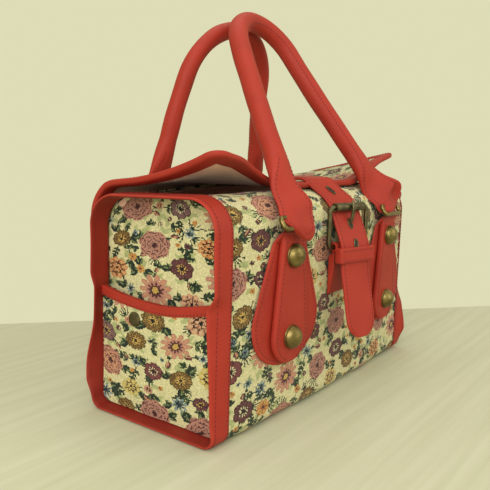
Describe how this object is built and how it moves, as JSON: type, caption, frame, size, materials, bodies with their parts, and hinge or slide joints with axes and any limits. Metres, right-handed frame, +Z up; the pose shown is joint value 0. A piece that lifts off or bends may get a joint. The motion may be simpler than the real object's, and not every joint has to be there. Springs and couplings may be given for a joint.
{
  "type": "embroidered handbag",
  "caption": "Boxy floral tapestry handbag with a buckled flap, leather bound ends with slip pockets, and rolled leather handles that swing on brass links.",
  "frame": {"origin": "middle of the base, on the surface the bag stands on", "axes": "+X along the bag, -Y towards the front with the buckle, +Z up"},
  "size_m": [0.36, 0.1949, 0.3645],
  "materials": {
    "tapestry": "woven floral pattern in muted pinks, plums and olive greens on a cream ground",
    "red_leather": "fine grained coral red leather, soft sheen",
    "lining": "taupe pink satin",
    "brass": "antique, polished on the high parts",
    "board": "grey board"
  },
  "bodies": {
    "bag": {"front_panel": "tapestry", "back_panel": "tapestry", "base_panel": "tapestry", "flap": "tapestry", "left_end_panel": "tapestry", "left_pocket": "tapestry", "left_end_lining": "lining", "left_end_binding": "red_leather", "left_pocket_band": "red_leather", "right_end_panel": "tapestry", "right_pocket": "tapestry", "right_end_lining": "lining", "right_end_binding": "red_leather", "right_pocket_band": "red_leather", "body_lining": "lining", "flap_lining": "lining", "base_board": "board", "flap_binding": "red_leather", "closure_strap": "red_leather", "buckle_tab": "red_leather", "buckle_keeper": "red_leather", "front_left_tab_base": "red_leather", "front_left_tab_face": "red_leather", "front_left_tab_studs": "brass", "front_right_tab_base": "red_leather", "front_right_tab_face": "red_leather", "front_right_tab_studs": "brass", "back_left_tab_base": "red_leather", "back_left_tab_face": "red_leather", "back_left_tab_studs": "brass", "back_right_tab_base": "red_leather", "back_right_tab_face": "red_leather", "back_right_tab_studs": "brass", "strap_eyelets": "brass", "buckle_frame": "brass"},
    "front_handle_body": {"front_handle": "red_leather", "front_left_link": "brass", "front_right_link": "brass"},
    "back_handle_body": {"back_handle": "red_leather", "back_left_link": "brass", "back_right_link": "brass"},
    "roller_body": {"buckle_roller": "brass"},
    "prong_body": {"buckle_prong": "brass"}
  },
  "joints": [
    {"name": "front_handle_swing", "type": "hinge", "parent": "bag", "child": "front_handle_body", "pos_m": [0, -0.08806, 0.17], "axis": [1, 0, 0], "range_deg": [0, 165]},
    {"name": "back_handle_swing", "type": "hinge", "parent": "bag", "child": "back_handle_body", "pos_m": [0, 0.08826, 0.168], "axis": [-1, 0, 0], "range_deg": [0, 145]},
    {"name": "roller_spin", "type": "hinge", "parent": "bag", "child": "roller_body", "pos_m": [-0.00212, -0.08548, 0.182], "axis": [0.9781, -0.2079, 0], "continuous": true},
    {"name": "prong_swing", "type": "hinge", "parent": "bag", "child": "prong_body", "pos_m": [-0.00212, -0.08548, 0.145], "axis": [0.9781, -0.2079, 0], "range_deg": [0, 6]}
  ]
}
